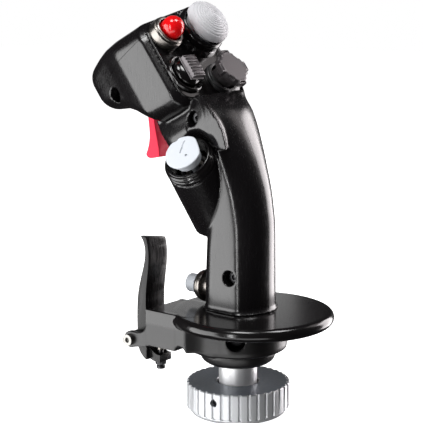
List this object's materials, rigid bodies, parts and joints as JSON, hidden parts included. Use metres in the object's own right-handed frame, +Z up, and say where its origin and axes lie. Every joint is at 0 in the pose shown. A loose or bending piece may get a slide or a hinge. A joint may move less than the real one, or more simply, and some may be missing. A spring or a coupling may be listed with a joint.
{
  "type": "flight joystick grip",
  "caption": "Right-hand flight stick grip with hat switches, trigger, thumb pod, paddle lever, hand rest and a screw-on coupling nut.",
  "frame": {"origin": "centre of the coupling nut's lower face, on the neck's axis", "axes": "+X is the pilot's right, +Y is forward (away from the palm), +Z is up along the neck"},
  "size_m": [0.0836, 0.1427, 0.211],
  "materials": {
    "nut_aluminium": "satin anodised",
    "black_steel": "black oxide",
    "screw_steel": "bright",
    "neck_steel": "grainy zinc plated",
    "black_plastic": "satin",
    "brass_pin": "bright",
    "base_black": "semi-gloss black",
    "bracket_black": "semi-gloss black",
    "dark_steel": "brushed dark",
    "shell_black": "satin black with a fine brushed grain",
    "gloss_black": "gloss",
    "red_gloss": "gloss",
    "grey_cap": "matte",
    "gunmetal": "satin",
    "white_cap": "satin",
    "red_satin": "satin",
    "board_green": "satin",
    "loom_grey": "matte"
  },
  "bodies": {
    "grip": {"neck_tube": "neck_steel", "neck_key": "neck_steel", "connector_insert": "black_plastic", "connector_pins": "brass_pin", "neck_lock_nut": "screw_steel", "lower_collar": "base_black", "base_casting": "base_black", "cup_clamp_screw": "black_steel", "pivot_screw": "screw_steel", "pivot_nut": "screw_steel", "paddle_switch": "black_plastic", "left_shell": "shell_black", "right_shell": "shell_black", "top_cover": "shell_black", "face_plate": "gloss_black", "release_collar": "dark_steel", "release_switch": "black_plastic", "trim_skirt": "gloss_black", "ridged_bezel": "gloss_black", "castle_collar": "black_plastic", "pod_collar": "gloss_black", "trigger_pin": "screw_steel", "trigger_switch": "black_plastic", "front_bezel": "dark_steel", "front_switch": "black_plastic", "shell_screws": "black_steel", "mainboard": "board_green", "mainboard_chips": "black_plastic", "wiring_loom": "loom_grey", "trim_housing": "black_plastic", "ridged_housing": "black_plastic", "castle_housing": "black_plastic", "pod_housing": "black_plastic"},
    "washer": {"thrust_washer": "screw_steel"},
    "nut": {"coupling_nut": "nut_aluminium", "nut_grub_screw": "black_steel"},
    "paddle": {"paddle_lever": "bracket_black", "adjusting_screw": "black_steel", "adjusting_nut": "black_steel"},
    "plunger": {"paddle_plunger": "dark_steel"},
    "trigger": {"trigger": "red_satin"},
    "release_button": {"release_button": "red_gloss"},
    "front_button": {"front_button": "white_cap"},
    "trim_ring": {"trim_gimbal": "dark_steel"},
    "trim_cap": {"trim_hat": "grey_cap"},
    "ridged_ring": {"ridged_gimbal": "dark_steel"},
    "ridged_cap": {"ridged_dome": "gloss_black", "ridged_cap": "gunmetal"},
    "castle_ring": {"castle_gimbal": "dark_steel"},
    "castle_cap": {"castle_hat": "gunmetal"},
    "pod_ring": {"pod_gimbal": "dark_steel"},
    "pod_cap": {"pod_hat": "white_cap"}
  },
  "joints": [
    {"name": "washer_slide", "type": "slide", "parent": "grip", "child": "washer", "axis": [0, 0, 1], "range_m": [0, 0.01]},
    {"name": "nut_turn", "type": "hinge", "parent": "washer", "child": "nut", "pos_m": [0, 0, 0], "axis": [0, 0, 1], "continuous": true},
    {"name": "paddle_pivot", "type": "hinge", "parent": "grip", "child": "paddle", "pos_m": [0, 0.045, 0.0375], "axis": [1, 0, 0], "range_deg": [0, 10], "stiffness_Nm_per_rad": 0.9, "springref_deg": -14.32},
    {"name": "plunger_slide", "type": "slide", "parent": "grip", "child": "plunger", "axis": [0, 0, -1], "range_m": [0, 0.0021]},
    {"name": "trigger_pivot", "type": "hinge", "parent": "grip", "child": "trigger", "pos_m": [0, 0.051, 0.16], "axis": [-1, 0, 0], "range_deg": [0, 12], "stiffness_Nm_per_rad": 0.4, "springref_deg": -20.05},
    {"name": "release_press", "type": "slide", "parent": "grip", "child": "release_button", "axis": [0, 0.7986, -0.6018], "range_m": [0, 0.002], "stiffness_N_per_m": 700, "springref_m": -0.001},
    {"name": "front_press", "type": "slide", "parent": "grip", "child": "front_button", "axis": [0, -1, 0], "range_m": [0, 0.0025], "stiffness_N_per_m": 600, "springref_m": -0.001},
    {"name": "trim_tilt_fore", "type": "hinge", "parent": "grip", "child": "trim_ring", "pos_m": [0.0131, 0.04347, 0.19062], "axis": [1, 0, 0], "range_deg": [-4, 4], "stiffness_Nm_per_rad": 0.6},
    {"name": "trim_tilt_side", "type": "hinge", "parent": "trim_ring", "child": "trim_cap", "pos_m": [0.0131, 0.04347, 0.19062], "axis": [0, 0.6018, 0.7986], "range_deg": [-4, 4], "stiffness_Nm_per_rad": 0.6},
    {"name": "ridged_tilt_fore", "type": "hinge", "parent": "grip", "child": "ridged_ring", "pos_m": [-0.012, 0.02909, 0.17153], "axis": [1, 0, 0], "range_deg": [-4, 4], "stiffness_Nm_per_rad": 0.6},
    {"name": "ridged_tilt_side", "type": "hinge", "parent": "ridged_ring", "child": "ridged_cap", "pos_m": [-0.012, 0.02909, 0.17153], "axis": [0, 0.6018, 0.7986], "range_deg": [-4, 4], "stiffness_Nm_per_rad": 0.6},
    {"name": "castle_tilt_fore", "type": "hinge", "parent": "grip", "child": "castle_ring", "pos_m": [0.0134, 0.02638, 0.16794], "axis": [1, 0, 0], "range_deg": [-4, 4], "stiffness_Nm_per_rad": 0.6},
    {"name": "castle_tilt_side", "type": "hinge", "parent": "castle_ring", "child": "castle_cap", "pos_m": [0.0134, 0.02638, 0.16794], "axis": [0, 0.6018, 0.7986], "range_deg": [-4, 4], "stiffness_Nm_per_rad": 0.6},
    {"name": "pod_tilt_fore", "type": "hinge", "parent": "grip", "child": "pod_ring", "pos_m": [-0.01833, 0.0122, 0.12785], "axis": [-0.0766, 0.995, 0.0645], "range_deg": [-4, 4], "stiffness_Nm_per_rad": 0.6},
    {"name": "pod_tilt_side", "type": "hinge", "parent": "pod_ring", "child": "pod_cap", "pos_m": [-0.01833, 0.0122, 0.12785], "axis": [-0.6441, 0, -0.7649], "range_deg": [-4, 4], "stiffness_Nm_per_rad": 0.6}
  ],
  "couplings": [
    {"joint": "plunger_slide", "follows": "paddle_pivot", "m_per_rad": 0.01}
  ]
}
